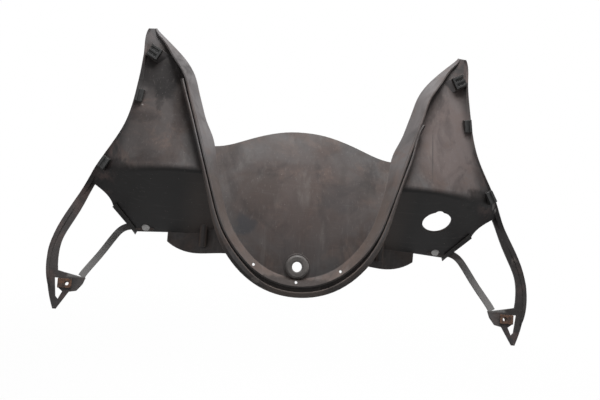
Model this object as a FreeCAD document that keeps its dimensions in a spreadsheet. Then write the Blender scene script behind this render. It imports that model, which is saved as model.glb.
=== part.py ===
import FreeCAD, Part
import Sketcher
import math
import os

# Motorcycle inner fairing, drawn in the mould's draw frame and leaned back into its riding attitude.
# X runs to the right of the front view, Y from the front to the back along the draw, Z up.
# The origin is the centre of the screw hole, on the front skin of the centre plate.

V = FreeCAD.Vector
doc = FreeCAD.newDocument("inner_fairing")
sheet = doc.addObject("Spreadsheet::Sheet", "dims")

values = [
    # whole part
    ("lean_angle", 15),
    ("half_width", 251),
    ("horn_rise", 235),
    ("leg_drop", 63),
    ("rake_depth", 86),
    ("wall", 2.8),
    # seam of the screen band in the front view: tangent arcs and lines
    ("seam_bottom", 20.5),
    ("seam_low_radius", 75),
    ("seam_low_turn", 40),
    ("seam_side_radius", 118),
    ("seam_side_turn", 32.3),
    ("shoulder_share", 0.77),
    ("shoulder_radius", 26),
    ("shoulder_turn", 16.7),
    # band, groove and outer lip
    ("band_low_width", 9.5),
    ("groove_low", 4),
    ("groove_side", 1.3),
    ("groove_depth", 8.5),
    ("groove_open_right", 80),
    ("groove_open_left", 48),
    ("rim_low_width", 9.7),
    ("lip_right_height", 156),
    ("lip_left_height", 181),
    ("drain_hole_radius", 1.4),
    ("drain_hole_spread", 43),
    # centre plate and its screw hole
    ("plate_wall", 2.6),
    ("plate_crown", 6),
    ("arch_rise", 137),
    ("arch_corner_z", 114),
    ("pad_radius", 13),
    ("pad_proud", 0.5),
    # grommet
    ("grommet_bore", 5.1),
    ("grommet_neck", 8),
    ("grommet_rim", 11.6),
    ("grommet_front", 3.2),
    ("grommet_back", 2.3),
    ("grommet_clearance", 0.1),
    # side pocket
    ("crease_z", 88),
    ("crease_radius", 6.5),
    ("crease_depth", 25),
    ("pocket_low_z", 20),
    ("pocket_low_depth", 104),
    ("pocket_top_depth", 87),
    ("pocket_wall", 3.4),
    ("pocket_lip", 4),
    ("pocket_lip_proud", 2.2),
    ("socket_radius", 15.2),
    ("socket_key", 5),
    ("stake_hole_radius", 4.3),
    # skirt and post under the pocket
    ("skirt_wall", 3),
    ("skirt_bottom", 5.5),
    ("post_radius", 4),
    # outer border and legs
    ("border_width", 4.6),
    ("border_proud", 1.2),
    ("flange_wall", 2.6),
    ("flange_depth", 9),
    ("leg_wall", 3),
    ("leg_tip_depth", 62.5),
    ("strut_width", 7),
    ("strut_wall", 3.2),
    # clip nut on the bracket
    ("nut_sheet", 1.2),
    ("nut_width", 9.6),
    ("nut_reach", 5),
    ("nut_edge", 7.8),
    ("nut_clearance", 0.2),
    ("nut_thread_radius", 2.1),
    ("nut_collar_radius", 4),
    ("nut_collar", 3.5),
    ("bracket_hole_radius", 2.8),
    # clips on the horn and the outer edge
    ("horn_clip_angle", 29),
    ("horn_block_proud", 6),
    ("horn_clip_length", 12),
    ("horn_clip_width", 12),
    ("horn_clip_sheet", 1.4),
    ("horn_finger", 2.2),
    ("horn_finger_rise", 3),
    ("edge_pad_proud", 0.4),
    ("edge_clip_width", 7.4),
    ("edge_clip_length", 12.5),
    ("edge_clip_rise", 3.6),
    ("edge_clip_slot", 2.6),
]
for row, (name, value) in enumerate(values, start=1):
    sheet.set("A%d" % row, name)
    sheet.set("B%d" % row, str(value))
    sheet.setAlias("B%d" % row, name)
doc.recompute()


def dim(name):
    return float(sheet.get(name))


def smooth(stations, at):
    # value at a position on a smooth curve through (position, value) stations
    last = len(stations) - 1
    if at <= stations[0][0]:
        return stations[0][1]
    if at >= stations[last][0]:
        return stations[last][1]
    slopes = []
    for i in range(last + 1):
        low = stations[max(i - 1, 0)]
        high = stations[min(i + 1, last)]
        slopes.append((high[1] - low[1]) / (high[0] - low[0]))
    i = 0
    while at > stations[i + 1][0]:
        i += 1
    (a, fa), (b, fb) = stations[i], stations[i + 1]
    span = b - a
    k = (at - a) / span
    ends = fa * (1 + 2 * k) * (1 - k) ** 2 + fb * k * k * (3 - 2 * k)
    return ends + span * k * (1 - k) * (slopes[i] * (1 - k) - slopes[i + 1] * k)


def spline(points):
    curve = Part.BSplineCurve()
    curve.interpolate(points)
    return curve.toShape()


def outward(solid):
    if solid.Volume < 0:
        solid.reverse()
    return solid


def closed(points):
    return Part.makePolygon(points + [points[0]])


def prism(edges, front, back):
    # front-view outline drawn at Y = 0, carried along the draw direction
    face = Part.Face(Part.Wire(edges))
    face.translate(V(0, front, 0))
    return outward(face.extrude(V(0, back - front, 0)))


def depth_at(shape, x, z):
    # front and back of a sheet on a line in draw direction
    line = Part.makeLine(V(x, -120, z), V(x, 260, z))
    box = shape.common(line).BoundBox
    return box.YMin, box.YMax


def skin(name, shape):
    feature = doc.addObject("Part::Feature", name)
    feature.Shape = shape
    return feature


def join(name, features):
    # one piece grown from the first feature by one joint after another
    grown = features[0]
    for number, feature in enumerate(features[1:], start=1):
        joint = doc.addObject("Part::Fuse", "%s_%d" % (name, number))
        joint.Base = grown
        joint.Tool = feature
        joint.Refine = False
        grown = joint
    return grown


def twin(source):
    # the same skin on the other side of the middle plane
    feature = doc.addObject("Part::Mirroring", source.Name + "_left")
    feature.Source = source
    feature.Normal = V(1, 0, 0)
    return feature


rise = dim("horn_rise")
half = dim("half_width")
rake = dim("rake_depth")
drop = dim("leg_drop")
wall = dim("wall")

# Side-view runs: heights are shares of the horn's rise, depths are shares of the rake depth
SEAM_SIDE = [(-0.09, -0.105), (0.1, -0.052), (0.28, 0.052), (0.45, 0.186), (0.61, 0.326), (0.74, 0.465),
             (0.8, 0.541), (0.89, 0.767), (1.0, 0.977)]
PLATE_SIDE = [(-0.12, 0.006), (-0.06, 0), (0, 0), (0.13, 0.029), (0.26, 0.105), (0.38, 0.221), (0.49, 0.36),
              (0.585, 0.512), (0.68, 0.7)]
HORN_SIDE = [(0.49, 0.448), (0.53, 0.494), (0.57, 0.535), (0.64, 0.581), (0.71, 0.628), (0.77, 0.663),
             (0.81, 0.692), (0.85, 0.738), (0.91, 0.849), (0.96, 0.942), (1.0, 1.0)]
# Width of the band along its run, as shares of its width at the bottom
BAND_RUN = [(-0.09, 1.0), (0.2, 1.0), (0.32, 1.06), (0.4, 1.25), (0.445, 1.42), (0.485, 1.63), (0.515, 1.5),
            (0.56, 1.3), (0.63, 1.22), (0.76, 1.2), (0.84, 1.12), (0.9, 0.82), (0.95, 0.5), (1.0, 0.22)]

# Seam of the screen band: start point, heading, radius and length of each leg of the chain
seam_legs = []
leg_start = V(0, 0, -dim("seam_bottom"))
heading = 0.0
for kind, radius, amount in (
    ("arc", dim("seam_low_radius"), dim("seam_low_turn")),
    ("arc", dim("seam_side_radius"), dim("seam_side_turn")),
    ("line", 0, dim("shoulder_share") * rise),
    ("arc", -dim("shoulder_radius"), dim("shoulder_turn")),
    ("line", 0, rise),
):
    if kind == "arc":
        length = abs(radius) * math.radians(amount)
        turned = heading + length / radius
        step = V(math.sin(turned) - math.sin(heading), 0, math.cos(heading) - math.cos(turned)) * radius
    else:
        length = (amount - leg_start.z) / math.sin(heading)
        turned = heading
        step = V(math.cos(heading), 0, math.sin(heading)) * length
    seam_legs.append((leg_start, heading, radius, length))
    leg_start = leg_start + step
    heading = turned
seam_length = sum(leg[3] for leg in seam_legs)


def seam(run):
    # point of the seam and its outward normal, at a run length from the bottom centre
    for start, angle, radius, length in seam_legs:
        if run <= length or start is seam_legs[-1][0]:
            break
        run -= length
    if radius:
        turned = angle + run / radius
        step = V(math.sin(turned) - math.sin(angle), 0, math.cos(angle) - math.cos(turned))
        point = start + step * radius
        angle = turned
    else:
        point = start + V(math.cos(angle), 0, math.sin(angle)) * run
    return point, V(math.sin(angle), 0, -math.cos(angle))


def seam_at_height(z):
    low, high = 0.0, seam_length
    for halving in range(40):
        middle = 0.5 * (low + high)
        if seam(middle)[0].z < z:
            low = middle
        else:
            high = middle
    return low


def seam_y(z):
    return rake * smooth(SEAM_SIDE, z / rise)


def band_width(z):
    return dim("band_low_width") * smooth(BAND_RUN, z / rise)


corner_point, corner_normal = seam(seam_at_height(dim("arch_corner_z") - 5))
corner = corner_point - corner_normal * band_width(corner_point.z)


def plate_y(x, z):
    return rake * smooth(PLATE_SIDE, z / rise) + dim("plate_crown") * (x / corner.x) ** 2


def band_inner_y(x, z):
    if z < corner.z:
        return plate_y(x, z)
    return rake * smooth(HORN_SIDE, z / rise)


def in_section(point, normal, side, pairs):
    # section of a rail: distances along the outward normal, and depths
    return closed([V(side * (point.x + normal.x * n), y, point.z + normal.z * n) for n, y in pairs])


# Centre plate: side profile lofted over the width, trimmed by the arch and the band
sections = []
for k in (-1.5, -0.75, 0, 0.75, 1.5):
    x = k * corner.x
    sections.append(Part.Wire(spline([V(x, plate_y(x, z * rise), z * rise) for z, y in PLATE_SIDE])))
plate_sheet = Part.makeLoft(sections, False, False).Faces[0].extrude(V(0, dim("plate_wall"), 0))
plate_sheet = outward(plate_sheet)
side_run = []
for k in (0, 0.06, 0.12, 0.18, 0.25, 0.32, 0.39, 0.46):
    point, normal = seam(k * seam_length)
    if point.z < corner.z - 14:
        side_run.append(point - normal * (0.6 * band_width(point.z)))
side_run.append(corner + V(3, 0, 1))
ARCH = [(0.84, 0.17), (0.64, 0.46), (0.4, 0.78), (0.2, 0.95), (0, 1.0)]
arch_height = dim("arch_rise") - corner.z
arch_run = [side_run[-1]] + [V(corner.x * a, 0, corner.z + arch_height * b) for a, b in ARCH]
left_side = [V(-p.x, 0, p.z) for p in reversed(side_run[1:])]
left_arch = [V(-p.x, 0, p.z) for p in reversed(arch_run[:-1])]
plate_outline = [spline(left_side + side_run), spline(arch_run + left_arch)]
plate = skin("plate", plate_sheet.common(prism(plate_outline, -60, 120)))

# Flat pad round the screw hole
pad = doc.addObject("Part::Cylinder", "screw_pad")
pad.setExpression("Radius", "dims.pad_radius")
pad.setExpression("Height", "dims.plate_wall + 2 * dims.pad_proud")
pad.Placement = FreeCAD.Placement(V(0, -dim("pad_proud"), 0), FreeCAD.Rotation(V(1, 0, 0), -90))

# Screen band: a bevelled face swept from horn tip to horn tip
BAND_STATIONS = [k / 20.0 for k in range(21)]


def band_section(run, side):
    point, normal = seam(run)
    width = band_width(point.z)
    front = seam_y(point.z)
    inner_point = point - normal * width
    inner = band_inner_y(inner_point.x, inner_point.z)
    bevel = inner - front
    back = front + min(dim("groove_depth") - 1, 0.8 * width + 1)
    return in_section(point, normal, side, [
        (-width, inner),
        (-0.55 * width, front + 0.42 * bevel),
        (-min(1.6, 0.3 * width), front + 0.04 * bevel),
        (0, front + 0.9),
        (0, back),
        (-min(wall, 0.35 * width), back),
        (-0.55 * width, front + 0.42 * bevel + wall),
        (-width, inner + wall),
    ])


band_wires = [band_section(k * seam_length, -1) for k in reversed(BAND_STATIONS[1:])]
band_wires += [band_section(k * seam_length, 1) for k in BAND_STATIONS]
band = skin("band", outward(Part.makeLoft(band_wires, True, False)))

# Outer lip of the screen groove, from one horn to the other below the plate
low_reach = seam_at_height(0.3 * rise)
# Reach of the lip's rim from the seam along its run, as shares of its reach at the bottom
RIM_RUN = [(0, 1.0), (0.25, 1.03), (0.45, 1.0), (0.7, 0.76), (1.0, 0.5), (1.4, 0.47), (3.0, 0.47)]


def lip_section(run, side):
    point, normal = seam(run)
    front = seam_y(point.z)
    open_run = dim("groove_open_right") if side > 0 else dim("groove_open_left")
    low = smooth([(0.6 * open_run, 1.0), (open_run, 0.5), (1.4 * open_run, 0)], run)
    gap = dim("groove_side") + (dim("groove_low") - dim("groove_side")) * low
    width = dim("rim_low_width") * smooth(RIM_RUN, run / low_reach) - gap
    depth = dim("groove_depth")
    return in_section(point, normal, side, [
        (-1.2, front + depth),
        (-1.2, front + depth - wall),
        (gap, front + depth - wall),
        (gap, front + 1.6),
        (gap + 0.9, front + 0.8),
        (gap + 0.6 * width, front + 1.3),
        (gap + width, front + 3.6),
        (gap + width, front + 5.4),
        (gap + wall, front + 4.6),
        (gap + wall, front + depth),
    ])


left_end = seam_at_height(dim("lip_left_height"))
right_end = seam_at_height(dim("lip_right_height"))
lip_wires = [lip_section(k * left_end / 8.0, -1) for k in range(8, 0, -1)]
lip_wires += [lip_section(k * right_end / 7.0, 1) for k in range(8)]
lip = skin("lip", outward(Part.makeLoft(lip_wires, True, False)))

# Side pocket: a profile folded at the crease, lofted outwards over the width
pocket_slope = (dim("pocket_low_depth") - dim("crease_depth")) / (dim("crease_z") - dim("pocket_low_z"))
# share of the half width, crease depth change, crease drop, crease radius, lower-edge depth change
POCKET_RUN = [(0.22, -0.12, 0, 1, 0), (0.42, -0.04, 0, 1, 0), (0.58, 0.12, 0.011, 1, 0),
              (0.72, 0.8, 0.045, 1.6, 0), (0.85, 1.84, 0.08, 2.5, -0.04), (0.97, 2.4, 0.09, 3, -0.08)]


def fold(x, crease_y, crease_z, radius, top_y, low_y, front, back):
    # closed profile of the folded sheet in a plane of constant X
    top = V(x, top_y, 1.05 * rise)
    bend = V(x, crease_y, crease_z)
    low = V(x, low_y + 10 * pocket_slope, dim("pocket_low_z") - 10)
    up = (top - bend).normalize()
    down = (low - bend).normalize()
    turn = 0.5 * up.getAngle(down)
    reach = radius / math.tan(turn)
    middle = (up + down).normalize() * (radius / math.sin(turn) - radius)
    run = [top, bend + up * reach, bend + middle, bend + down * reach, low]
    a = [p + V(0, front, 0) for p in run]
    b = [p + V(0, back, 0) for p in run]
    return Part.Wire([
        Part.makeLine(a[0], a[1]),
        Part.Arc(a[1], a[2], a[3]).toShape(),
        Part.makeLine(a[3], a[4]),
        Part.makeLine(a[4], b[4]),
        Part.makeLine(b[4], b[3]),
        Part.Arc(b[3], b[2], b[1]).toShape(),
        Part.makeLine(b[1], b[0]),
        Part.makeLine(b[0], a[0]),
    ])


def pocket_sheet(front, back):
    wires = []
    for share, forward, lower, bend, low in POCKET_RUN:
        wires.append(fold(share * half, dim("crease_depth") * (1 + forward), dim("crease_z") * (1 - lower),
                          bend * dim("crease_radius"), dim("pocket_top_depth") + 3 * share,
                          dim("pocket_low_depth") * (1 + low), front, back))
    return outward(Part.makeLoft(wires, True, False))


pocket = pocket_sheet(0, dim("pocket_wall"))
pocket_front = pocket_sheet(-40, 0.6 * dim("pocket_wall"))

# Front-view outlines, shares of the half width and of the rise or drop
OUTER_EDGE = [(0.671, 1.0), (0.685, 0.835), (0.705, 0.66), (0.749, 0.515), (0.809, 0.413), (0.864, 0.306),
              (0.912, 0.213), (0.968, 0.094), (1.0, -0.06)]
LEG_EDGE = [(0.997, -0.4), (0.98, -0.76), (0.96, -1.0)]
LOW_EDGE = [(0.671, 0.098), (0.756, 0.202), (0.777, 0.24), (0.808, 0.268), (0.832, 0.285)]
HOOK = [(0.661, 0.084), (0.653, 0.099)]


def front_point(a, b):
    return V(a * half, 0, b * (rise if b > 0 else drop))


def front_points(shares):
    return [front_point(a, b) for a, b in shares]


outer_edge = front_points(OUTER_EDGE)
low_edge = front_points(LOW_EDGE)
hook = front_points(HOOK)
pocket_outer = [p for p in outer_edge if p.z > 0.29 * rise]
inner_run = []
inner_start = seam_at_height(0.14 * rise)
for k in (0, 0.12, 0.25, 0.4, 0.55, 0.7, 0.8, 0.88, 0.95, 1.0):
    point, normal = seam(inner_start + k * (seam_length - inner_start))
    inner_run.append(point - normal * (0.4 * wall))
low_inner = V(inner_run[0].x + 8, 0, low_edge[0].z + 5)
pocket_outline = [
    spline(inner_run),
    Part.makeLine(inner_run[-1], pocket_outer[0]),
    spline(pocket_outer),
    Part.makeLine(pocket_outer[-1], low_edge[-1]),
    spline(list(reversed(low_edge[1:]))),
    Part.makeLine(low_edge[1], low_edge[0]),
    Part.makeLine(low_edge[0], hook[0]),
    Part.makeLine(hook[0], hook[1]),
    Part.makeLine(hook[1], low_inner),
    Part.makeLine(low_inner, inner_run[0]),
]
pocket_skin = skin("pocket", pocket.common(prism(pocket_outline, -60, 180)))

# Raised lip along the free lower corner of the pocket
along = (low_edge[1] - low_edge[0]).normalize()
across = V(along.z, 0, -along.x)
lip_start = low_edge[0] - across * 0.3 + along * 0.5
lip_stop = low_edge[1] + across * 1.4 - along * 0.5
lip_outline = closed([lip_start, lip_stop, lip_stop - across * (dim("pocket_lip") + 1.4),
                      lip_start - across * dim("pocket_lip")])
corner_lip = pocket_sheet(-dim("pocket_lip_proud"), 0.6 * dim("pocket_wall"))
corner_lip = skin("corner_lip", corner_lip.common(prism(lip_outline.Edges, -60, 180)))

# Side wall: in draw direction from the seam back to the pocket
wall_wires = []
for k in (0.03, 0.1, 0.18, 0.28, 0.35, 0.375, 0.41, 0.6, 0.765, 0.81, 0.88, 0.94):
    point, normal = seam(seam_at_height(k * rise))
    front = seam_y(point.z) + 1.4
    back = sum(depth_at(pocket, max(point.x, 0.23 * half), point.z)) / 2
    back = min(back, 0.86 * dim("pocket_low_depth"))
    inner = -min(wall, 3.2 * (1.02 - k) * wall)
    wall_wires.append(in_section(point, normal, 1, [
        (inner, front), (-0.15, front), (-0.15, back), (inner, back),
    ]))
side_wall = skin("side_wall", outward(Part.makeLoft(wall_wires, True, True)))

# Skirt: a curved wall hanging from the pocket's lower edge
SKIRT_PLAN = [(0.53, 1.5), (0.47, 1.8), (0.4, 0.5), (0.335, -5), (0.262, -15)]
SKIRT_LOW = [(0.524, 10), (0.484, 4), (0.418, 0), (0.36, 0.5), (0.24, 2)]
low_y = depth_at(pocket, 0.5 * half, low_edge[0].z + 4)[0]
skirt_front = spline([V(a * half, low_y + b, 0) for a, b in SKIRT_PLAN])
skirt_back = skirt_front.copy()
skirt_back.translate(V(0, dim("skirt_wall"), 0))
ends = [Part.makeLine(skirt_front.Vertexes[i].Point, skirt_back.Vertexes[i].Point) for i in (0, 1)]
skirt_face = Part.Face(Part.Wire([skirt_front, ends[1], skirt_back, ends[0]]))
skirt_low = [V(a * half, 0, dim("skirt_bottom") + b) for a, b in SKIRT_LOW]
skirt_top = low_edge[0].z + 12
top_run = [V(skirt_low[-1].x, 0, skirt_top), V(skirt_low[0].x, 0, skirt_top)]
skirt_outline = [
    spline(skirt_low),
    Part.makeLine(skirt_low[-1], top_run[0]),
    Part.makeLine(top_run[0], top_run[1]),
    Part.makeLine(top_run[1], skirt_low[0]),
]
skirt = outward(skirt_face.extrude(V(0, 0, skirt_top + 5)))
skirt = skin("skirt", skirt.common(prism(skirt_outline, 0, 180)))

# Post under the pocket
post = doc.addObject("Part::Cylinder", "post")
post.setExpression("Radius", "dims.post_radius")
post.setExpression("Height", "0.1 * dims.horn_rise")
post_y = depth_at(pocket, 0.375 * half, 0.14 * rise)[0]
post.Placement = FreeCAD.Placement(V(0.375 * half, post_y, 0.055 * rise), FreeCAD.Rotation())

# Leg frame: outer strip, bracket and pointed foot in one leaned plane
STRIP_INNER = [(0.832, 0.3), (0.853, 0.251), (0.877, 0.189), (0.902, 0.134), (0.928, 0.081), (0.948, 0.028),
               (0.954, -0.03), (0.955, -0.27)]
BRACKET = [(0.952, -0.375), (0.924, -0.4), (0.86, -0.45), (0.838, -0.462), (0.848, -0.57), (0.871, -0.685),
           (0.901, -0.71), (0.947, -1.0)]
NUT_HOLE = (0.912, -0.58)
leg_top = 0.29 * rise
leg_top_y = sum(depth_at(pocket, 0.862 * half, leg_top)) / 2 - 0.5 * dim("leg_wall")
leg_slope = (leg_top_y - dim("leg_tip_depth")) / (leg_top + drop)
leg_tilt = math.degrees(math.atan(leg_slope))
leg_back = V(0, 1, -leg_slope).normalize()


def on_leg(point):
    return V(point.x, leg_top_y + leg_slope * (point.z - leg_top), point.z)


nut_hole = front_point(*NUT_HOLE)
vent_x = nut_hole.x + dim("nut_edge")
vent_side = 0.5 * dim("nut_width") + 0.5
vent = [V(0.962 * half, 0, nut_hole.z + vent_side), V(vent_x, 0, nut_hole.z + vent_side),
        V(vent_x, 0, nut_hole.z - vent_side)]
vent += front_points([(0.927, -0.715), (0.942, -0.84), (0.953, -0.79)])
strip_outer = [p for p in outer_edge if p.z < 0.4 * rise] + front_points(LEG_EDGE)
strip_inner = front_points(STRIP_INNER)
chain = [strip_inner[-1]] + front_points(BRACKET) + [strip_outer[-1]]
leg_edges = [
    spline([on_leg(p) for p in strip_outer]),
    spline([on_leg(p) for p in strip_inner]),
    Part.makeLine(on_leg(strip_outer[0]), on_leg(strip_inner[0])),
]
leg_edges += [Part.makeLine(on_leg(a), on_leg(b)) for a, b in zip(chain[:-1], chain[1:])]
leg_face = Part.Face(Part.Wire(Part.__sortEdges__(leg_edges)))
leg_face = leg_face.cut(Part.Face(closed([on_leg(p) for p in vent]))).Faces[0]
leg = skin("leg", outward(leg_face.extrude(leg_back * dim("leg_wall"))))

# Border and return flange along the whole outer edge
edge_curve = spline(outer_edge + front_points(LEG_EDGE))
edge_span = edge_curve.LastParameter - edge_curve.FirstParameter


def edge_frame(share):
    # point on the outer edge with its front depth, and the outward normal
    parameter = edge_curve.FirstParameter + share * edge_span
    point = edge_curve.valueAt(parameter)
    tangent = edge_curve.tangentAt(parameter)
    if point.z > leg_top:
        point.y = depth_at(pocket, point.x - 1, point.z)[0]
    else:
        point.y = on_leg(point).y
    return point, V(-tangent.z, 0, tangent.x)


def edge_at_height(z):
    low, high = 0.0, 1.0
    for halving in range(40):
        middle = 0.5 * (low + high)
        if edge_curve.valueAt(edge_curve.FirstParameter + middle * edge_span).z > z:
            low = middle
        else:
            high = middle
    return low


flange_wires = []
for k in range(13):
    point, normal = edge_frame(k / 12.0)
    ease = min(1, 0.4 + 0.2 * min(k, 12 - k))
    depth = point.y + ease * dim("flange_depth")
    front = point.y - dim("border_proud")
    width = dim("border_width") * ease
    web = dim("flange_wall") * ease
    flange_wires.append(in_section(point, normal, 1, [
        (0, front), (0, depth), (-web, depth),
        (-web, point.y + 1.6), (-width, point.y + 1.6), (-width, front),
    ]))
flange = skin("flange", outward(Part.makeLoft(flange_wires, True, False)))

# Strut: from behind the pocket's corner down to the bracket
STRUT = [(0.585, 0.127), (0.662, 0.121), (0.705, 0.111), (0.738, 0.076), (0.781, 0.001), (0.824, -0.25),
         (0.856, -0.45)]
strut_run = front_points(STRUT)
strut_curve = spline(strut_run)
strut_top_y = depth_at(pocket, strut_run[1].x, strut_run[1].z)[1] - 1.0
strut_end_y = on_leg(strut_run[-1]).y
strut_wires = []
for i, point in enumerate(strut_run):
    tangent = strut_curve.tangentAt(strut_curve.Curve.parameter(point))
    share = (strut_run[2].z - point.z) / (strut_run[2].z - strut_run[-1].z)
    y = strut_top_y + (strut_end_y - strut_top_y) * max(0, share)
    if i == 0:
        y = depth_at(pocket, point.x, point.z)[1] - 1.0
    w = 0.5 * dim("strut_width")
    t = dim("strut_wall")
    normal = V(-tangent.z, 0, tangent.x)
    strut_wires.append(in_section(point, normal, 1, [(w, y), (w, y + t), (-w, y + t), (-w, y)]))
strut = skin("strut", outward(Part.makeLoft(strut_wires, True, False)))

# Seats of the clips: front face of each block, and its turn in the front view
horn_seat = front_point(0.637, 0.885)
horn_seat.y = depth_at(pocket, horn_seat.x, horn_seat.z)[0] - dim("horn_block_proud")


def edge_seat(height, inset):
    # the seat stands clear of the pocket's front under all of the clip
    point, normal = edge_frame(edge_at_height(height * rise))
    seat = point - normal * inset
    across = normal * dim("edge_clip_width")
    along = V(-normal.z, 0, normal.x) * dim("edge_clip_length")
    fronts = []
    for side in (-0.5, 0.5):
        for end in (-0.5, 0, 0.5):
            corner = seat + across * side + along * end
            fronts.append(depth_at(pocket, corner.x, corner.z)[0])
    seat.y = min(fronts) - dim("edge_pad_proud")
    return seat, math.degrees(math.atan2(normal.z, normal.x))


upper_seat, upper_turn = edge_seat(0.69, 5.0)
lower_seat, lower_turn = edge_seat(0.392, 5.5)


def block(name, seat, turn, outline, width):
    # block on the pocket's front: outline of (reach, depth behind the seat), carried over the width
    face = Part.Face(closed([V(a, b, -0.5 * width) for a, b in outline]))
    solid = outward(face.extrude(V(0, 0, width)))
    solid.Placement = FreeCAD.Placement(seat, FreeCAD.Rotation(V(0, 1, 0), -turn))
    return skin(name, pocket_front.common(solid))


reach = 0.5 * dim("horn_clip_length") + 1
horn_block = block("horn_block", horn_seat, dim("horn_clip_angle"),
                   [(-reach - 9, 14), (-reach - 8, 4), (-reach, 0), (reach, 0), (reach, 14)],
                   dim("horn_clip_width") + 2)
reach = 0.5 * dim("edge_clip_width") + 0.4
edge_pad_outline = [(-reach, 12), (-reach, 0), (reach, 0), (reach, 12)]
upper_pad = block("upper_pad", upper_seat, upper_turn, edge_pad_outline, dim("edge_clip_length") + 1)
lower_pad = block("lower_pad", lower_seat, lower_turn, edge_pad_outline, dim("edge_clip_length") + 1)

# Holes in the pockets' lower faces: a keyed socket hole on the right, a stake hole on both sides
def square_to_pocket(at):
    # direction square to the pocket's front at a point
    step = dim("stake_hole_radius")
    across = depth_at(pocket, at.x + step, at.z)[0] - depth_at(pocket, at.x - step, at.z)[0]
    upward = depth_at(pocket, at.x, at.z + step)[0] - depth_at(pocket, at.x, at.z - step)[0]
    return V(-across, 2 * step, -upward).normalize()


def drill(name, at, through, radius_cell):
    tool = doc.addObject("Part::Cylinder", name)
    tool.setExpression("Radius", "dims." + radius_cell)
    tool.Height = 40
    tool.Placement = FreeCAD.Placement(at - through * 20, FreeCAD.Rotation(V(0, 0, 1), through))
    return tool


def on_pocket(a, b):
    point = front_point(a, b)
    point.y = depth_at(pocket, point.x, point.z)[0]
    return point


socket_at = on_pocket(0.586, 0.249)
stake_at = on_pocket(0.617, 0.119)
socket_axis = square_to_pocket(socket_at)
up_face = V(1, 0, 0).cross(socket_axis).normalize()
socket = drill("socket", socket_at, socket_axis, "socket_radius")
key_at = socket_at + up_face * (dim("socket_radius") - 0.62 * dim("socket_key"))
key = drill("socket_keyway", key_at, socket_axis, "socket_key")
stake = drill("stake_hole", stake_at, square_to_pocket(stake_at), "stake_hole_radius")
staked_pocket = doc.addObject("Part::Cut", "staked_pocket")
staked_pocket.Base = pocket_skin
staked_pocket.Tool = stake

# The moulding: the centre and its two sides in one piece
centre = join("centre", [plate, pad, band, lip])
side = join("side", [staked_pocket, corner_lip, horn_block, upper_pad, lower_pad, flange, leg, strut,
                     skirt, post, side_wall])
moulding = join("moulding", [centre, side, twin(side)])

# Screw holes through plate, band and brackets
tools = []


def bore(name, at, radius_expression, back):
    tool = doc.addObject("Part::Cylinder", name)
    tool.setExpression("Radius", radius_expression)
    tool.Height = 60
    tool.Placement = FreeCAD.Placement(at - back * 30, FreeCAD.Rotation(V(0, 0, 1), back))
    tools.append(tool)


draw = V(0, 1, 0)
bore("screw_hole", V(0, 0, 0), "dims.grommet_neck + dims.grommet_clearance", draw)
middle_z = -dim("seam_bottom") + 0.55 * dim("band_low_width")
bore("drain_hole_middle", V(0, 0, middle_z), "dims.drain_hole_radius", draw)
spread = dim("drain_hole_spread")
hole_radius = dim("seam_low_radius") - 0.5 * dim("band_low_width")
point, normal = seam(dim("seam_low_radius") * math.asin(spread / hole_radius))
drain_at = point - normal * (0.5 * band_width(point.z))
bore("drain_hole_right", V(drain_at.x, 0, drain_at.z), "dims.drain_hole_radius", draw)
bore("drain_hole_left", V(-drain_at.x, 0, drain_at.z), "dims.drain_hole_radius", draw)
nut_at = on_leg(nut_hole)
bore("nut_hole_right", nut_at, "dims.bracket_hole_radius", leg_back)
bore("nut_hole_left", V(-nut_at.x, nut_at.y, nut_at.z), "dims.bracket_hole_radius", leg_back)
holes = doc.addObject("Part::MultiFuse", "screw_holes")
holes.Shapes = tools + [socket, key]
fairing = doc.addObject("Part::Cut", "fairing")
fairing.Base = moulding
fairing.Tool = holes
fairing.Refine = False
doc.recompute()


# Sketch helpers for the fitted pieces
def sketch_on(body, name, role):
    sketch = body.newObject("Sketcher::SketchObject", name)
    plane = [f for f in body.Origin.OriginFeatures if f.Role == role][0]
    sketch.AttachmentSupport = [(plane, "")]
    sketch.MapMode = "FlatFace"
    return sketch


def outline(sketch, points):
    # closed run of lines; every corner is held by two bound distances from the origin
    count = len(points)
    spots = [V(float(sheet_value(a)), float(sheet_value(b)), 0) for a, b in points]
    for i in range(count):
        sketch.addGeometry(Part.LineSegment(spots[i], spots[(i + 1) % count]), False)
    for i in range(count):
        sketch.addConstraint(Sketcher.Constraint("Coincident", i, 2, (i + 1) % count, 1))
    for i, (a, b) in enumerate(points):
        for kind, text in (("DistanceX", a), ("DistanceY", b)):
            value = sheet_value(text)
            if abs(value) < 1e-9:
                axis = -2 if kind == "DistanceX" else -1
                sketch.addConstraint(Sketcher.Constraint("PointOnObject", i, 1, axis))
            else:
                number = sketch.addConstraint(Sketcher.Constraint(kind, -1, 1, i, 1, value))
                sketch.setExpression("Constraints[%d]" % number, text)


def sheet_value(text):
    # value of a sum of sheet cells and numbers, each term a number or a product of numbers and cells
    total = 0.0
    for term in text.replace("- ", "+ -").split("+ "):
        product = 1.0
        term = term.strip()
        if term.startswith("-"):
            product = -1.0
            term = term[1:]
        for factor in term.split("*"):
            factor = factor.strip()
            product *= dim(factor[5:]) if factor.startswith("dims.") else float(factor)
        total += product
    return total


def circle(sketch, radius_text):
    sketch.addGeometry(Part.Circle(V(0, 0, 0), V(0, 0, 1), sheet_value(radius_text)), False)
    sketch.addConstraint(Sketcher.Constraint("Coincident", 0, 3, -1, 1))
    number = sketch.addConstraint(Sketcher.Constraint("Radius", 0, sheet_value(radius_text)))
    sketch.setExpression("Constraints[%d]" % number, radius_text)


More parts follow.
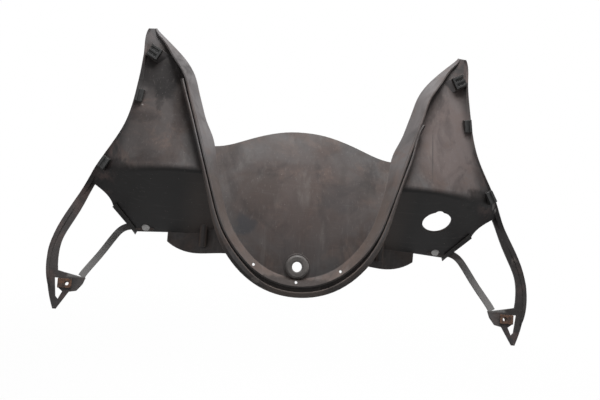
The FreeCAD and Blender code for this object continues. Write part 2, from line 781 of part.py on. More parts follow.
# Grommet in the screw hole, turned about the draw direction
grommet = doc.addObject("PartDesign::Body", "grommet")
profile = sketch_on(grommet, "grommet_profile", "XY_Plane")
outline(profile, [
    ("dims.grommet_bore", "0.7 - dims.pad_proud - dims.grommet_front"),
    ("dims.grommet_bore + 1", "0 - dims.pad_proud - dims.grommet_front"),
    ("dims.grommet_rim - 1.8", "0 - dims.pad_proud - dims.grommet_front"),
    ("dims.grommet_rim", "1.3 - dims.pad_proud - dims.grommet_front"),
    ("dims.grommet_rim", "0 - dims.pad_proud"),
    ("dims.grommet_neck", "0 - dims.pad_proud"),
    ("dims.grommet_neck", "dims.plate_wall + dims.pad_proud"),
    ("dims.grommet_rim - 1.2", "dims.plate_wall + dims.pad_proud"),
    ("dims.grommet_rim - 1.8", "dims.plate_wall + dims.pad_proud + dims.grommet_back"),
    ("dims.grommet_bore", "dims.plate_wall + dims.pad_proud + dims.grommet_back"),
])
turn = grommet.newObject("PartDesign::Revolution", "grommet_turn")
turn.Profile = profile
turn.ReferenceAxis = (profile, ["V_Axis"])
turn.Angle = 360


# Clip nut folded over the bracket's edge, in the bracket's own plane
def make_nut(name):
    body = doc.addObject("PartDesign::Body", name)
    strip = sketch_on(body, name + "_fold", "XY_Plane")
    outline(strip, [
        ("0 - dims.nut_reach", "0 - dims.nut_sheet"),
        ("dims.nut_edge + dims.nut_clearance + dims.nut_sheet", "0 - dims.nut_sheet"),
        ("dims.nut_edge + dims.nut_clearance + dims.nut_sheet",
         "dims.leg_wall + dims.nut_clearance + dims.nut_sheet"),
        ("0 - dims.nut_reach", "dims.leg_wall + dims.nut_clearance + dims.nut_sheet"),
        ("0 - dims.nut_reach", "dims.leg_wall + dims.nut_clearance"),
        ("dims.nut_edge + dims.nut_clearance", "dims.leg_wall + dims.nut_clearance"),
        ("dims.nut_edge + dims.nut_clearance", "0"),
        ("0 - dims.nut_reach", "0"),
    ])
    leaf = body.newObject("PartDesign::Pad", name + "_leaf")
    leaf.Profile = strip
    leaf.SideType = "Symmetric"
    leaf.setExpression("Length", "dims.nut_width")
    ring = sketch_on(body, name + "_ring", "XZ_Plane")
    ring.setExpression("AttachmentOffset.Base.z",
                       "0 - dims.leg_wall - dims.nut_clearance - 0.5 * dims.nut_sheet")
    circle(ring, "dims.nut_collar_radius")
    collar = body.newObject("PartDesign::Pad", name + "_collar")
    collar.Profile = ring
    collar.Reversed = True
    collar.setExpression("Length", "dims.nut_collar + 0.5 * dims.nut_sheet")
    thread = sketch_on(body, name + "_thread", "XZ_Plane")
    circle(thread, "dims.nut_thread_radius")
    hole = body.newObject("PartDesign::Pocket", name + "_hole")
    hole.Profile = thread
    hole.SideType = "Symmetric"
    hole.setExpression("Length", "4 * (dims.leg_wall + dims.nut_collar + 3 * dims.nut_sheet)")
    return body


# Three-finger clip on the horn's block: a base sheet with three raised fingers
def make_horn_clip(name):
    body = doc.addObject("PartDesign::Body", name)
    base = sketch_on(body, name + "_base", "XZ_Plane")
    outline(base, [
        ("-0.5 * dims.horn_clip_length", "-0.5 * dims.horn_clip_width"),
        ("0.5 * dims.horn_clip_length", "-0.5 * dims.horn_clip_width"),
        ("0.5 * dims.horn_clip_length", "0.5 * dims.horn_clip_width"),
        ("-0.5 * dims.horn_clip_length", "0.5 * dims.horn_clip_width"),
    ])
    plate_pad = body.newObject("PartDesign::Pad", name + "_sheet")
    plate_pad.Profile = base
    plate_pad.setExpression("Length", "dims.horn_clip_sheet")
    comb = sketch_on(body, name + "_comb", "XZ_Plane")
    outline(comb, [
        ("-0.5 * dims.horn_clip_length", "-0.5 * dims.horn_clip_width"),
        ("0.5 * dims.horn_clip_length", "-0.5 * dims.horn_clip_width"),
        ("0.5 * dims.horn_clip_length", "-0.5 * dims.horn_clip_width + dims.horn_finger"),
        ("-0.5 * dims.horn_clip_length + dims.horn_finger",
         "-0.5 * dims.horn_clip_width + dims.horn_finger"),
        ("-0.5 * dims.horn_clip_length + dims.horn_finger", "-0.5 * dims.horn_finger"),
        ("0.5 * dims.horn_clip_length", "-0.5 * dims.horn_finger"),
        ("0.5 * dims.horn_clip_length", "0.5 * dims.horn_finger"),
        ("-0.5 * dims.horn_clip_length + dims.horn_finger", "0.5 * dims.horn_finger"),
        ("-0.5 * dims.horn_clip_length + dims.horn_finger",
         "0.5 * dims.horn_clip_width - dims.horn_finger"),
        ("0.5 * dims.horn_clip_length", "0.5 * dims.horn_clip_width - dims.horn_finger"),
        ("0.5 * dims.horn_clip_length", "0.5 * dims.horn_clip_width"),
        ("-0.5 * dims.horn_clip_length", "0.5 * dims.horn_clip_width"),
    ])
    fingers = body.newObject("PartDesign::Pad", name + "_fingers")
    fingers.Profile = comb
    fingers.setExpression("Length", "dims.horn_clip_sheet + dims.horn_finger_rise")
    return body


# Edge clip: a small channel with its open side to the front
def make_edge_clip(name):
    body = doc.addObject("PartDesign::Body", name)
    channel = sketch_on(body, name + "_channel", "XY_Plane")
    outline(channel, [
        ("-0.5 * dims.edge_clip_width", "0"),
        ("-0.5 * dims.edge_clip_width", "0 - dims.edge_clip_rise"),
        ("-0.5 * dims.edge_clip_slot", "0 - dims.edge_clip_rise"),
        ("-0.5 * dims.edge_clip_slot", "-0.4 * dims.edge_clip_rise"),
        ("0.5 * dims.edge_clip_slot", "-0.4 * dims.edge_clip_rise"),
        ("0.5 * dims.edge_clip_slot", "0 - dims.edge_clip_rise"),
        ("0.5 * dims.edge_clip_width", "0 - dims.edge_clip_rise"),
        ("0.5 * dims.edge_clip_width", "0"),
    ])
    run = body.newObject("PartDesign::Pad", name + "_run")
    run.Profile = channel
    run.SideType = "Symmetric"
    run.setExpression("Length", "dims.edge_clip_length")
    return body


# Riding attitude: every piece is leaned back by the same angle about the screw hole
lean = FreeCAD.Placement(V(0, 0, 0), FreeCAD.Rotation(V(1, 0, 0), -dim("lean_angle")))


def seated(body, seat, turn):
    body.Placement = lean.multiply(FreeCAD.Placement(seat, turn))


def flipped(point):
    return V(-point.x, point.y, point.z)


pieces = [(fairing, "fairing_body"), (grommet, "centre_grommet")]
fairing.Placement = lean
grommet.Placement = lean
tilt = FreeCAD.Rotation(V(1, 0, 0), -leg_tilt)
half_turn = FreeCAD.Rotation(V(0, 1, 0), 180)
for hand, seat, turn in (("right", nut_at, tilt), ("left", flipped(nut_at), tilt.multiply(half_turn))):
    body = make_nut(hand + "_nut")
    seated(body, seat, turn)
    pieces.append((body, hand + "_bracket_nut"))
for hand, seat, turn in (("right", horn_seat, -dim("horn_clip_angle")),
                         ("left", flipped(horn_seat), dim("horn_clip_angle") - 180)):
    body = make_horn_clip(hand + "_horn")
    seated(body, seat, FreeCAD.Rotation(V(0, 1, 0), turn))
    pieces.append((body, hand + "_horn_clip"))
for name, seat, turn in (("edge", upper_seat, upper_turn), ("low", lower_seat, lower_turn)):
    for hand, at, angle in (("right", seat, -turn), ("left", flipped(seat), turn)):
        body = make_edge_clip(hand + "_" + name)
        seated(body, at, FreeCAD.Rotation(V(0, 1, 0), angle))
        pieces.append((body, hand + "_" + name + "_clip"))
for piece, label in pieces:
    piece.Label = label
doc.recompute()

# Every object is sound and every piece is one solid before it is written
for feature in doc.Objects:
    if "Invalid" in feature.State or "Error" in feature.State:
        raise ValueError(feature.Name + " " + str(feature.State))
    flat = feature.isDerivedFrom("Sketcher::SketchObject") or feature.isDerivedFrom("App::OriginFeature")
    if hasattr(feature, "Shape") and not flat:
        if feature.Shape.isNull() or not feature.Shape.isValid():
            raise ValueError(feature.Name + " has no sound shape")
os.makedirs("parts", exist_ok=True)
for piece, label in pieces:
    if len(piece.Shape.Solids) != 1:
        raise ValueError(label + " is %d solids" % len(piece.Shape.Solids))
    piece.Shape.Solids[0].exportStep("parts/" + label + ".step")
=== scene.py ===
import bpy
import math
from mathutils import Matrix, Vector


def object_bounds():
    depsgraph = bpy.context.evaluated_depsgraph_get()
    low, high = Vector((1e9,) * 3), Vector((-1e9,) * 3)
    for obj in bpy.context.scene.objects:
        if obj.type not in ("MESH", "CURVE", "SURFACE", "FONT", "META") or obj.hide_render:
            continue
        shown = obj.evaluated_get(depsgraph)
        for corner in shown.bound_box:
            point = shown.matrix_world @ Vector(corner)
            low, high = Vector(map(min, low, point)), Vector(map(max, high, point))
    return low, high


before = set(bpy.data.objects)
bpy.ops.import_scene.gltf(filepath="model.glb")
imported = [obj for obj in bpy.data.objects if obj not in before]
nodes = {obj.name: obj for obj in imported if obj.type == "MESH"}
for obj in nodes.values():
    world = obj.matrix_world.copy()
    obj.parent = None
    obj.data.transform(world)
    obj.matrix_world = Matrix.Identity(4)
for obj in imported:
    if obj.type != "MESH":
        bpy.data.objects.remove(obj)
cad_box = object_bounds()
scene = bpy.context.scene

# The front view is drawn upright in millimetres; the part leans back from it by this angle
LEAN = math.radians(15)
TO_PART = Matrix.Rotation(-LEAN, 3, "X")
MM_PER_M = 1000

# The Mix node has a set of sockets for each kind of data; these are the colour ones
MIX_A, MIX_B, MIX_OUT = 6, 7, 2

# Bend between the true and the rounded normal, as a cosine, where wear starts and where it is full
EDGE_BEND = (0.99, 0.8)
EDGE_SAMPLES = 6

# Openness where the painted shade of a hollow starts and where it is deepest
HOLLOW_OPENNESS = (0.75, 0.15)
HOLLOW_SAMPLES = 8

# A mark's ragged rim has this many waves per metre, divided by its least half size in millimetres
RIM_WAVES = 1400


class Graph:
    """One shader tree, with short names for the nodes that it is made of."""

    def __init__(self, tree):
        self.tree = tree

    def node(self, kind, **settings):
        made = self.tree.nodes.new(kind)
        for key, value in settings.items():
            setattr(made, key, value)
        return made

    def feed(self, socket, value):
        """Link the value to the socket, or set it there if it is a constant."""
        if isinstance(value, bpy.types.NodeSocket):
            self.tree.links.new(value, socket)
        else:
            socket.default_value = value

    def calc(self, operation, a, b=0.0):
        made = self.node("ShaderNodeMath", operation=operation)
        self.feed(made.inputs[0], a)
        self.feed(made.inputs[1], b)
        return made.outputs[0]

    def vector(self, operation, *values):
        made = self.node("ShaderNodeVectorMath", operation=operation)
        for socket, value in zip(made.inputs, values):
            self.feed(socket, value)
        return made.outputs["Value" if operation in ("LENGTH", "DOT_PRODUCT") else "Vector"]

    def times(self, *factors):
        product = factors[0]
        for factor in factors[1:]:
            product = self.calc("MULTIPLY", product, factor)
        return product

    def span(self, value, low, high, start=0.0, stop=1.0):
        """Soft step from start to stop while the value goes from low to high."""
        made = self.node("ShaderNodeMapRange", interpolation_type="SMOOTHSTEP")
        self.feed(made.inputs["Value"], value)
        for name, number in (("From Min", low), ("From Max", high), ("To Min", start), ("To Max", stop)):
            made.inputs[name].default_value = number
        return made.outputs["Result"]

    def axis(self, vector, name):
        made = self.node("ShaderNodeSeparateXYZ")
        self.feed(made.inputs[0], vector)
        return made.outputs[name]

    def mix(self, share, a, b):
        made = self.node("ShaderNodeMix", data_type="RGBA")
        self.feed(made.inputs[0], share)
        for socket, colour in ((made.inputs[MIX_A], a), (made.inputs[MIX_B], b)):
            self.feed(socket, colour if isinstance(colour, bpy.types.NodeSocket) else (*colour, 1))
        return made.outputs[MIX_OUT]

    def seen(self):
        """One for rays of the picture, straight, mirrored or passed through, and nought for other light."""
        path = self.node("ShaderNodeLightPath")
        rays = path.outputs["Is Camera Ray"]
        for kind in ("Is Glossy Ray", "Is Transmission Ray"):
            rays = self.calc("MAXIMUM", rays, path.outputs[kind])
        return rays


class Paint(Graph):
    """A procedural material, painted in layers in the upright front view."""

    def __init__(self, name):
        self.material = bpy.data.materials.new(name)
        self.material.use_nodes = True
        super().__init__(self.material.node_tree)
        upright = self.node("ShaderNodeMapping")
        upright.inputs["Rotation"].default_value = (LEAN, 0, 0)
        self.feed(upright.inputs["Vector"], self.node("ShaderNodeTexCoord").outputs["Object"])
        self.place = upright.outputs["Vector"]
        self.normal = self.node("ShaderNodeNewGeometry").outputs["Normal"]
        self.colour = None

    def noise(self, scale, detail=3.0, stretch=(1, 1, 1), roughness=0.55, twist=0.0):
        grid = self.node("ShaderNodeMapping")
        self.feed(grid.inputs["Vector"], self.place)
        grid.inputs["Scale"].default_value = stretch
        made = self.node("ShaderNodeTexNoise")
        self.feed(made.inputs["Vector"], grid.outputs["Vector"])
        made.inputs["Scale"].default_value = scale
        made.inputs["Detail"].default_value = detail
        made.inputs["Roughness"].default_value = roughness
        made.inputs["Distortion"].default_value = twist
        return made.outputs["Fac"]

    def lay(self, tint, *shares):
        """Paint a tint over the colour so far, as strongly as the product of the shares."""
        self.colour = self.mix(self.times(*shares), self.colour, tint)

    def spot(self, centre, size, edge=0.5, ragged=0.6):
        """Soft mask round a point of the upright front view, in millimetres, with a ragged rim."""
        offset = self.vector("SUBTRACT", self.place, [c / MM_PER_M for c in centre])
        reach = self.vector("LENGTH", self.vector("DIVIDE", offset, [s / MM_PER_M for s in size]))
        waves = self.noise(scale=RIM_WAVES / min(size), detail=3)
        rim = self.times(self.calc("SUBTRACT", waves, 0.5), 2 * ragged)
        return self.span(self.calc("ADD", reach, rim), 1.0, 1.0 - edge)

    def edges(self, radius):
        """Mask of the sharp edges, and the normal that rounds them."""
        bevel = self.node("ShaderNodeBevel", samples=EDGE_SAMPLES)
        bevel.inputs["Radius"].default_value = radius
        rounded = bevel.outputs["Normal"]
        return self.span(self.vector("DOT_PRODUCT", rounded, self.normal), *EDGE_BEND), rounded

    def hollows(self, distance):
        """Mask of the places that stand deep between other surfaces, for painted shade."""
        shade = self.node("ShaderNodeAmbientOcclusion", samples=HOLLOW_SAMPLES)
        shade.inputs["Distance"].default_value = distance
        return self.span(shade.outputs["AO"], *HOLLOW_OPENNESS)

    def bump(self, height, strength, distance, normal):
        made = self.node("ShaderNodeBump")
        made.inputs["Strength"].default_value = strength
        made.inputs["Distance"].default_value = distance
        self.feed(made.inputs["Height"], height)
        self.feed(made.inputs["Normal"], normal)
        return made.outputs["Normal"]

    def finish(self, roughness, normal, gloss=0.3, metal=0.0):
        shader = self.tree.nodes["Principled BSDF"]
        self.feed(shader.inputs["Base Color"], self.colour)
        self.feed(shader.inputs["Roughness"], roughness)
        self.feed(shader.inputs["Normal"], normal)
        self.feed(shader.inputs["Metallic"], metal)
        shader.inputs["Specular IOR Level"].default_value = gloss
        return self.material


# Tones of the moulding, linear red, green and blue
# the bare tones are black plastic and also painted shade on faces that look down; the dust tones are dust
# and also painted light on faces that look up
BARE_SHADED_DARK, BARE_SHADED_PALE = (0.0125, 0.0118, 0.012), (0.022, 0.0207, 0.0207)
DUST_AND_LIGHT_GREY, DUST_AND_LIGHT_BROWN = (0.125, 0.117, 0.116), (0.1, 0.078, 0.071)
# painted sheen of the horns' inner faces
HORN_SHEEN = (0.19, 0.18, 0.182)
BAND_BROWN = (0.118, 0.09, 0.078)
BLOTCH, SMEAR = (0.034, 0.03, 0.03), (0.138, 0.1, 0.086)
LEG_BLOTCH, LEG_SMEAR = (0.017, 0.015, 0.0155), (0.105, 0.073, 0.068)
STREAK_PALE, STREAK_DARK = (0.2, 0.185, 0.175), (0.045, 0.04, 0.038)
# grey of the struts, made paler as painted sheen
STRUT_GREY_AND_SHEEN = (0.2, 0.197, 0.194)
RAW_DARK, RAW_PALE = (0.042, 0.04, 0.039), (0.075, 0.07, 0.067)
# the hollow tone is painted shade
EDGE_WORN, HOLLOW_SHADE = (0.14, 0.127, 0.121), (0.012, 0.0115, 0.011)
# painted light on the stake ends
STAKE_LIT = (0.62, 0.61, 0.6)
SCRATCH, HAIR = (0.22, 0.21, 0.2), (0.21, 0.19, 0.185)
RUB, SPECK = (0.16, 0.15, 0.148), (0.3, 0.27, 0.25)

# Upward part of the normal from faces that hold no dust and no painted light to faces that hold all of it;
# faces that look down stay dark as painted shade
LOOKS_UP = (-0.3, 0.65)

# The legs begin where the distance from the middle, plus this share of the height, passes these metres
LEG_SLANT = 0.25
LEG_EDGE = (0.204, 0.216)
# share of the dust and painted light that the legs keep
LEG_DUST_AND_LIGHT = 0.3

# The struts lie between these limits, in metres; the outer one is of the distance from the middle plus a
# share of the height
STRUT_INNER, STRUT_TOP, STRUT_FOOT = (0.163, 0.168), (0.0245, 0.021), (-0.031, -0.028)
STRUT_SLANT = 0.5
STRUT_OUTER = (0.217, 0.213)

# Painted light on the ends of the struts' stakes in the pockets, in millimetres
STAKE_PLACE = (154.8, 96.3, 28.5)
STAKE_SIZE = (4.7, 3, 4.7)

# Panels: centre and half sizes in the upright front view, tint, share
PANELS = (
    # plate
    ((0, 15, 66), (85, 70, 82), (0.076, 0.057, 0.052), 0.72),
    # left pocket
    ((-150, 55, 130), (55, 60, 75), (0.072, 0.06, 0.057), 0.6),
    # right pocket, greyer, and paler as painted light on the pocket that faces the lamp more
    ((152, 55, 140), (55, 60, 80), (0.185, 0.148, 0.141), 0.6),
)

# Marks: centre and half sizes in the upright front view, tint, share
MARKS = (
    # patches on the plate
    ((-54, 6, 37), (13, 30, 14), (0.04, 0.042, 0.047), 0.7),
    ((2, 0, 20), (34, 30, 10), (0.05, 0.05, 0.054), 0.12),
    ((-44, 20, 72), (26, 40, 36), (0.045, 0.037, 0.034), 0.35),
    ((40, 14, 72), (24, 30, 20), (0.055, 0.053, 0.055), 0.4),
    ((-20, 40, 115), (45, 30, 26), (0.125, 0.117, 0.116), 0.35),
    # pale chips on the left pocket and at the top of the right leg
    ((-167, 62, 152), (1.5, 12, 1.3), (0.3, 0.28, 0.27), 0.8),
    ((207, 72, 82), (2.2, 14, 6), (0.36, 0.34, 0.33), 0.5),
    ((210, 72, 77), (1.4, 14, 3.5), (0.4, 0.38, 0.37), 0.5),
    # long scratch in the right pocket
    ((133, 45, 125), (0.8, 40, 34), (0.06, 0.055, 0.052), 0.7),
    # scuffs on the right leg and on the band
    ((235, 66, 26), (5, 12, 6), (0.2, 0.17, 0.155), 0.7),
    ((-40, -8, -16), (6, 10, 4), (0.17, 0.15, 0.14), 0.6),
    ((4, -8, -23), (12, 10, 2.5), (0.13, 0.115, 0.105), 0.6),
    # black spot low in the left pocket, brown flash on the left leg
    ((-187, 58, 57), (5, 14, 4), (0.012, 0.012, 0.012), 0.8),
    ((-212, 72, 64), (7, 12, 5), (0.05, 0.03, 0.025), 0.7),
    # painted shade in the groove at the foot of the band, and the brown lip below it
    ((0, -8, -15), (70, 12, 7), (0.03, 0.026, 0.0248), 0.75),
    ((0, -8, -26), (60, 12, 6), (0.08, 0.064, 0.056), 0.65),
    # painted shade at the outer ends of the creases
    ((188, 54, 88), (22, 34, 11), (0.012, 0.0112, 0.0112), 0.75),
    ((-190, 54, 87), (24, 34, 10), (0.012, 0.0112, 0.0112), 0.75),
    # painted shade over the top of the left pocket, then darker patches and a black drip below it
    ((-150, 68, 186), (30, 60, 32), (0.012, 0.0105, 0.0105), 0.9),
    ((-165, 70, 140), (26, 40, 9), (0.03, 0.026, 0.026), 0.5),
    ((-128, 55, 150), (10, 40, 40), (0.04, 0.029, 0.026), 0.5),
    ((-150, 62, 165), (6, 40, 26), (0.012, 0.0108, 0.0108), 0.5),
    # pale tip of the left horn
    ((-160, 80, 228), (16, 40, 14), (0.16, 0.15, 0.152), 0.45),
    # greyer left leg, darker right leg
    ((-236, 66, 20), (22, 40, 80), (0.1, 0.09, 0.09), 0.3),
    ((236, 66, 20), (22, 40, 80), (0.02, 0.019, 0.019), 0.35),
    # black spot on the right crease
    ((179, 45, 76), (5, 14, 4), (0.012, 0.012, 0.012), 0.8),
)


class Moulding(Paint):
    """Old black moulding: dust and painted light on the faces that look up, painted shade on those that
    look down, in the hollows and at the creases, painted sheen on the horns and struts, painted light on
    the stake ends, brown stains, streaks, scuffs and worn edges.
    """

    def __init__(self):
        super().__init__("old_black_plastic")
        self.x = self.axis(self.place, "X")
        self.x_out = self.calc("ABSOLUTE", self.x)
        self.height = self.axis(self.place, "Z")
        self.forward = self.axis(self.normal, "Y")
        self.clouds = self.noise(scale=9, detail=3, twist=0.6)
        self.stains = self.noise(scale=26, detail=5, twist=0.8)
        beside = self.calc("ADD", self.x_out, self.times(self.height, LEG_SLANT))
        self.legs = self.span(beside, *LEG_EDGE)
        leg_dust_and_light = self.span(beside, *LEG_EDGE, 1.0, LEG_DUST_AND_LIGHT)
        # mask of the faces that look up, for dust and painted light; the faces that look down stay dark as
        # painted shade
        self.up_dust_and_light = self.times(self.span(self.axis(self.normal, "Z"), *LOOKS_UP), leg_dust_and_light)
        grain = self.noise(scale=240, detail=5)
        self.dust_and_light_film = self.times(self.up_dust_and_light, self.span(self.clouds, 0.2, 0.75, 0.62, 1.0),
                               self.span(grain, 0.25, 0.7, 0.85, 1.0))

    def paint(self):
        self.dust_and_light()
        self.panels()
        self.stain()
        for centre, size, tint, share in MARKS:
            self.lay(tint, self.spot(centre, size), share)
        self.struts()
        self.back()
        rounded = self.wear()
        self.scratch()
        pores = self.noise(scale=900, detail=3)
        normal = self.bump(pores, strength=0.12, distance=0.0004, normal=rounded)
        normal = self.bump(self.stains, strength=0.1, distance=0.002, normal=normal)
        roughness = self.span(self.dust_and_light_film, 0.0, 1.0, 0.46, 0.68)
        return self.finish(roughness, normal, gloss=0.16)

    def cloudy(self, least, most):
        return self.span(self.clouds, 0.2, 0.8, least, most)

    def dust_and_light(self):
        # dust and painted light on the faces that look up, over bare black that is also painted shade where
        # faces look down
        bare_shaded = self.mix(self.clouds, BARE_SHADED_DARK, BARE_SHADED_PALE)
        dust_and_light = self.mix(self.span(self.stains, 0.35, 0.68), DUST_AND_LIGHT_GREY, DUST_AND_LIGHT_BROWN)
        self.colour = self.mix(self.dust_and_light_film, bare_shaded, dust_and_light)

    def panels(self):
        """Tints of the panels, partly painted light, painted sheen on the horns' inner faces and the brown
        band round the plate's foot.
        """
        for centre, size, tint, share in PANELS:
            self.lay(tint, self.spot(centre, size, edge=0.6, ragged=0.3), self.up_dust_and_light, share)
        # painted sheen: the horns' inner faces, which face inward and up, are made paler
        inward = self.times(self.axis(self.normal, "X"), self.calc("SIGN", self.x))
        self.lay(HORN_SHEEN, self.span(inward, -0.08, -0.4), self.span(self.height, 0.07, 0.13),
                 self.cloudy(0.5, 0.8))
        self.lay(BAND_BROWN, self.span(self.forward, -0.9, -0.72), self.span(self.forward, 0.1, -0.1),
                 self.span(self.height, 0.11, 0.06), self.span(self.x_out, 0.125, 0.1),
                 self.cloudy(0.45, 0.75))

    def stain(self):
        """Dark blotches, warm brown smears and settled streaks down the panels."""
        blotches = self.noise(scale=20, detail=5, stretch=(1, 1, 0.6), roughness=0.6, twist=1.2)
        smears = self.noise(scale=34, detail=6, roughness=0.7, twist=0.5)
        streaks = self.noise(scale=70, detail=4, stretch=(1, 1, 0.08))
        self.lay(BLOTCH, self.span(blotches, 0.5, 0.32), self.up_dust_and_light, 0.6)
        self.lay(SMEAR, self.span(smears, 0.5, 0.7), self.up_dust_and_light, 0.62)
        self.lay(LEG_SMEAR, self.legs, self.span(smears, 0.47, 0.62), 0.6)
        self.lay(LEG_BLOTCH, self.legs, self.span(blotches, 0.47, 0.35), 0.6)
        self.lay(STREAK_PALE, self.span(streaks, 0.55, 0.75), self.up_dust_and_light, 0.3)
        self.lay(STREAK_DARK, self.span(streaks, 0.46, 0.3), self.up_dust_and_light, 0.35)

    def struts(self):
        slanting = self.calc("ADD", self.x_out, self.times(self.height, STRUT_SLANT))
        # grey struts, made paler as painted sheen on their fronts
        self.lay(STRUT_GREY_AND_SHEEN, self.span(self.x_out, *STRUT_INNER), self.span(self.height, *STRUT_TOP),
                 self.span(self.height, *STRUT_FOOT), self.span(slanting, *STRUT_OUTER),
                 self.cloudy(0.6, 0.9))

    def back(self):
        """Raw grey back of the moulding, with flow marks."""
        flow = self.noise(scale=7, detail=3, stretch=(1, 1, 2.5), twist=2.0)
        raw = self.mix(self.span(self.stains, 0.3, 0.7), RAW_DARK, RAW_PALE)
        self.lay(raw, self.span(self.forward, 0.12, 0.45), self.span(flow, 0.3, 0.7, 0.5, 0.95))

    def wear(self):
        """Worn edges, painted shade in the hollows and painted light on the stake ends; gives back the
        normal of rounded edges.
        """
        edge, rounded = self.edges(radius=0.0011)
        self.lay(EDGE_WORN, edge, self.span(self.stains, 0.3, 0.65, 0.1, 0.75))
        # painted shade: the hollows made near black
        self.lay(HOLLOW_SHADE, self.hollows(distance=0.012), 0.75)
        across, deep, high = STAKE_PLACE
        # painted light: pale discs on the stake ends seen through the pockets' holes
        for side in (-1, 1):
            self.lay(STAKE_LIT, self.spot((across * side, deep, high), STAKE_SIZE, edge=0.15, ragged=0.02))
        return rounded

    def scratch(self):
        """Hairline scratches and rubs across, hairs down the faces that look up, and pale specks."""
        scratches = self.noise(scale=160, detail=3, stretch=(0.25, 1, 1), twist=1.5)
        hairs = self.noise(scale=520, detail=2, stretch=(1, 1, 0.03))
        rubs = self.noise(scale=420, detail=2, stretch=(0.03, 1, 1))
        specks = self.noise(scale=620, detail=1)
        self.lay(SCRATCH, self.span(scratches, 0.66, 0.74), 0.09)
        self.lay(HAIR, self.span(hairs, 0.6, 0.72), self.up_dust_and_light, 0.16)
        self.lay(RUB, self.span(rubs, 0.58, 0.72), 0.06)
        self.lay(SPECK, self.span(specks, 0.75, 0.8), 0.35)


# Tones of the fitted pieces
RUBBER_DARK, RUBBER_BLOOM, RUBBER_EDGE = (0.085, 0.078, 0.074), (0.16, 0.147, 0.14), (0.1, 0.098, 0.095)
STEEL_DARK, RUST, RUST_PIT, STEEL_EDGE = (
    (0.03, 0.02, 0.016), (0.115, 0.055, 0.03), (0.2, 0.1, 0.055), (0.2, 0.15, 0.12))
CLIP_EDGE = (0.11, 0.108, 0.105)
HORN_CLIP_TONE, EDGE_CLIP_TONE = 0.018, 0.016
# darkest and palest parts of a clip, as shares of its tone
CLIP_DARK, CLIP_PALE = 0.4, 1.3


def rubber():
    """Dull black rubber with a grey bloom."""
    p = Paint("dull_rubber")
    bloom = p.noise(scale=130, detail=5)
    edge, rounded = p.edges(radius=0.0008)
    p.colour = p.mix(p.span(bloom, 0.35, 0.75), RUBBER_DARK, RUBBER_BLOOM)
    p.lay(RUBBER_EDGE, edge, 0.5)
    normal = p.bump(p.noise(scale=1200, detail=2), strength=0.1, distance=0.0003, normal=rounded)
    return p.finish(p.span(bloom, 0.3, 0.7, 0.5, 0.7), normal)


def rusty_steel():
    """Spring steel, mostly rusted, with bare worn corners."""
    p = Paint("rusty_steel")
    rust = p.noise(scale=210, detail=6, roughness=0.65, twist=0.6)
    pits = p.noise(scale=900, detail=4)
    edge, rounded = p.edges(radius=0.0005)
    p.colour = p.mix(p.span(rust, 0.35, 0.65), STEEL_DARK, RUST)
    p.lay(RUST_PIT, p.span(pits, 0.55, 0.75), 0.7)
    p.lay(STEEL_EDGE, edge, 0.4)
    normal = p.bump(pits, strength=0.4, distance=0.0004, normal=rounded)
    metal = p.span(rust, 0.5, 0.3, 0.0, 0.6)
    return p.finish(p.span(pits, 0.3, 0.7, 0.55, 0.85), normal, gloss=0.4, metal=metal)


def black_clip(name, tone):
    """Black clip with greyed corners."""
    p = Paint(name)
    cloud = p.noise(scale=300, detail=4)
    edge, rounded = p.edges(radius=0.0006)
    p.colour = p.mix(cloud, (CLIP_DARK * tone,) * 3, (CLIP_PALE * tone,) * 3)
    p.lay(CLIP_EDGE, edge, p.span(cloud, 0.35, 0.7), 0.6)
    normal = p.bump(cloud, strength=0.1, distance=0.0003, normal=rounded)
    return p.finish(p.span(cloud, 0.3, 0.7, 0.4, 0.6), normal, gloss=0.4)


# Paints by the ending of the node's name; the first that fits is taken
paints = {
    "body": Moulding().paint(),
    "grommet": rubber(),
    "nut": rusty_steel(),
    "horn_clip": black_clip("black_spring_clip", HORN_CLIP_TONE),
    "clip": black_clip("black_plastic_clip", EDGE_CLIP_TONE),
}
for name, node in nodes.items():
    paint = next(paints[ending] for ending in paints if name.endswith("_" + ending))
    for material_slot in node.material_slots:
        material_slot.material = paint

# White backdrop for the eye; a dimmer white sky lights the part
SKY_LIT, SKY_SEEN = 0.14, 1.0
world = bpy.data.worlds.new("studio")
scene.world = world
world.use_nodes = True
sky = Graph(world.node_tree)
background = sky.tree.nodes["Background"]
background.inputs["Color"].default_value = (1, 1, 1, 1)
sky.feed(background.inputs["Strength"], sky.span(sky.seen(), 0.0, 1.0, SKY_LIT, SKY_SEEN))

# Pale floor under the part: the eye sees white paper, and the part gets the light of a greyer one
FLOOR_SIZE, FLOOR_DEPTH, FLOOR_DROP = 8, 0.1, 0.22
FLOOR_ROUGHNESS = 0.9
FLOOR_LIT, FLOOR_SEEN = (0.45,) * 3, (0.86,) * 3
# it turns plain white away from the part, over these metres, from this share of plain white to all
FLOOR_FADE = (0.3, 0.9)
FLOOR_WHITE = (0.8, 1.0)
bpy.ops.mesh.primitive_plane_add(size=FLOOR_SIZE, location=(0, FLOOR_DEPTH, cad_box[0].z - FLOOR_DROP))
floor = bpy.context.object
floor.name = "floor"
paper = bpy.data.materials.new("floor_paper")
paper.use_nodes = True
look = Graph(paper.node_tree)
matt = look.tree.nodes["Principled BSDF"]
matt.inputs["Roughness"].default_value = FLOOR_ROUGHNESS
seen = look.seen()
look.feed(matt.inputs["Base Color"], look.mix(seen, FLOOR_LIT, FLOOR_SEEN))
away = look.vector("LENGTH", look.node("ShaderNodeTexCoord").outputs["Object"])
blend = look.node("ShaderNodeMixShader")
look.feed(blend.inputs[0], look.times(seen, look.span(away, *FLOOR_FADE, *FLOOR_WHITE)))
look.feed(blend.inputs[1], matt.outputs[0])
look.feed(blend.inputs[2], look.node("ShaderNodeEmission").outputs[0])
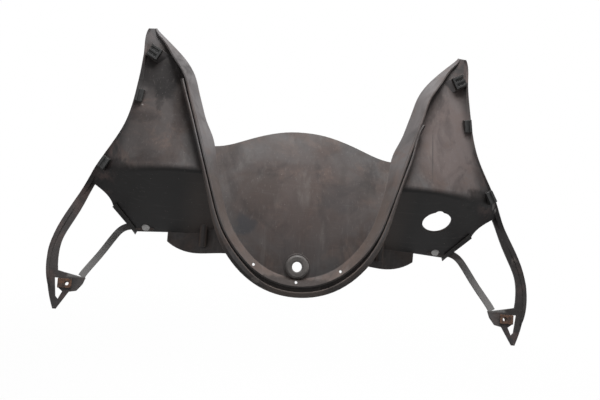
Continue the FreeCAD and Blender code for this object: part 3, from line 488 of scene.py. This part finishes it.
look.feed(look.tree.nodes["Material Output"].inputs["Surface"], blend.outputs[0])
floor.data.materials.append(paper)


def lamp(name, place, aim, size, power):
    light = bpy.data.lights.new(name, "AREA")
    light.shape = "DISK"
    light.size = size
    light.energy = power
    made = bpy.data.objects.new(name, light)
    made.location = place
    made.rotation_euler = (Vector(aim) - Vector(place)).to_track_quat("-Z", "Y").to_euler()
    scene.collection.objects.link(made)


# Soft lamp overhead, a weak one from the front and one from behind
lamp("overhead", place=(0.1, 0.0, 1.6), aim=(0, 0.06, 0.05), size=1.0, power=36)
lamp("front", place=(-0.4, -1.7, 0.9), aim=(0, 0.05, 0.05), size=1.0, power=4)
lamp("rear", place=(0.6, 1.8, 0.7), aim=(0, 0.05, 0.05), size=1.2, power=7)

# Camera of the photograph, level with the upright front view and rolled a little
TURN = math.radians(-4.7)
ROLL = math.radians(4.85)
DISTANCE = 1.1808
SENSOR_MM, LENS_MM = 36, 72
PHOTO_WIDTH = 600
SHIFT_RIGHT, SHIFT_UP = 3, 67
CLIP_NEAR, CLIP_FAR = 0.05, 20
right = Vector((math.cos(TURN), math.sin(TURN), 0))
ahead = Vector((-math.sin(TURN), math.cos(TURN), 0))
above = Vector((0, 0, 1))
rolled_right = right * math.cos(ROLL) + above * math.sin(ROLL)
rolled_up = above * math.cos(ROLL) - right * math.sin(ROLL)
axes = [TO_PART @ axis for axis in (rolled_right, rolled_up, -ahead)]
camera_data = bpy.data.cameras.new("camera")
camera_data.sensor_width = SENSOR_MM
camera_data.lens = LENS_MM
camera_data.shift_x = SHIFT_RIGHT / PHOTO_WIDTH
camera_data.shift_y = SHIFT_UP / PHOTO_WIDTH
camera_data.clip_start = CLIP_NEAR
camera_data.clip_end = CLIP_FAR
camera = bpy.data.objects.new("camera", camera_data)
camera.matrix_world = Matrix.Translation(TO_PART @ ahead * -DISTANCE) @ Matrix(axes).transposed().to_4x4()
scene.collection.objects.link(camera)
scene.camera = camera
scene.view_settings.view_transform = "Standard"
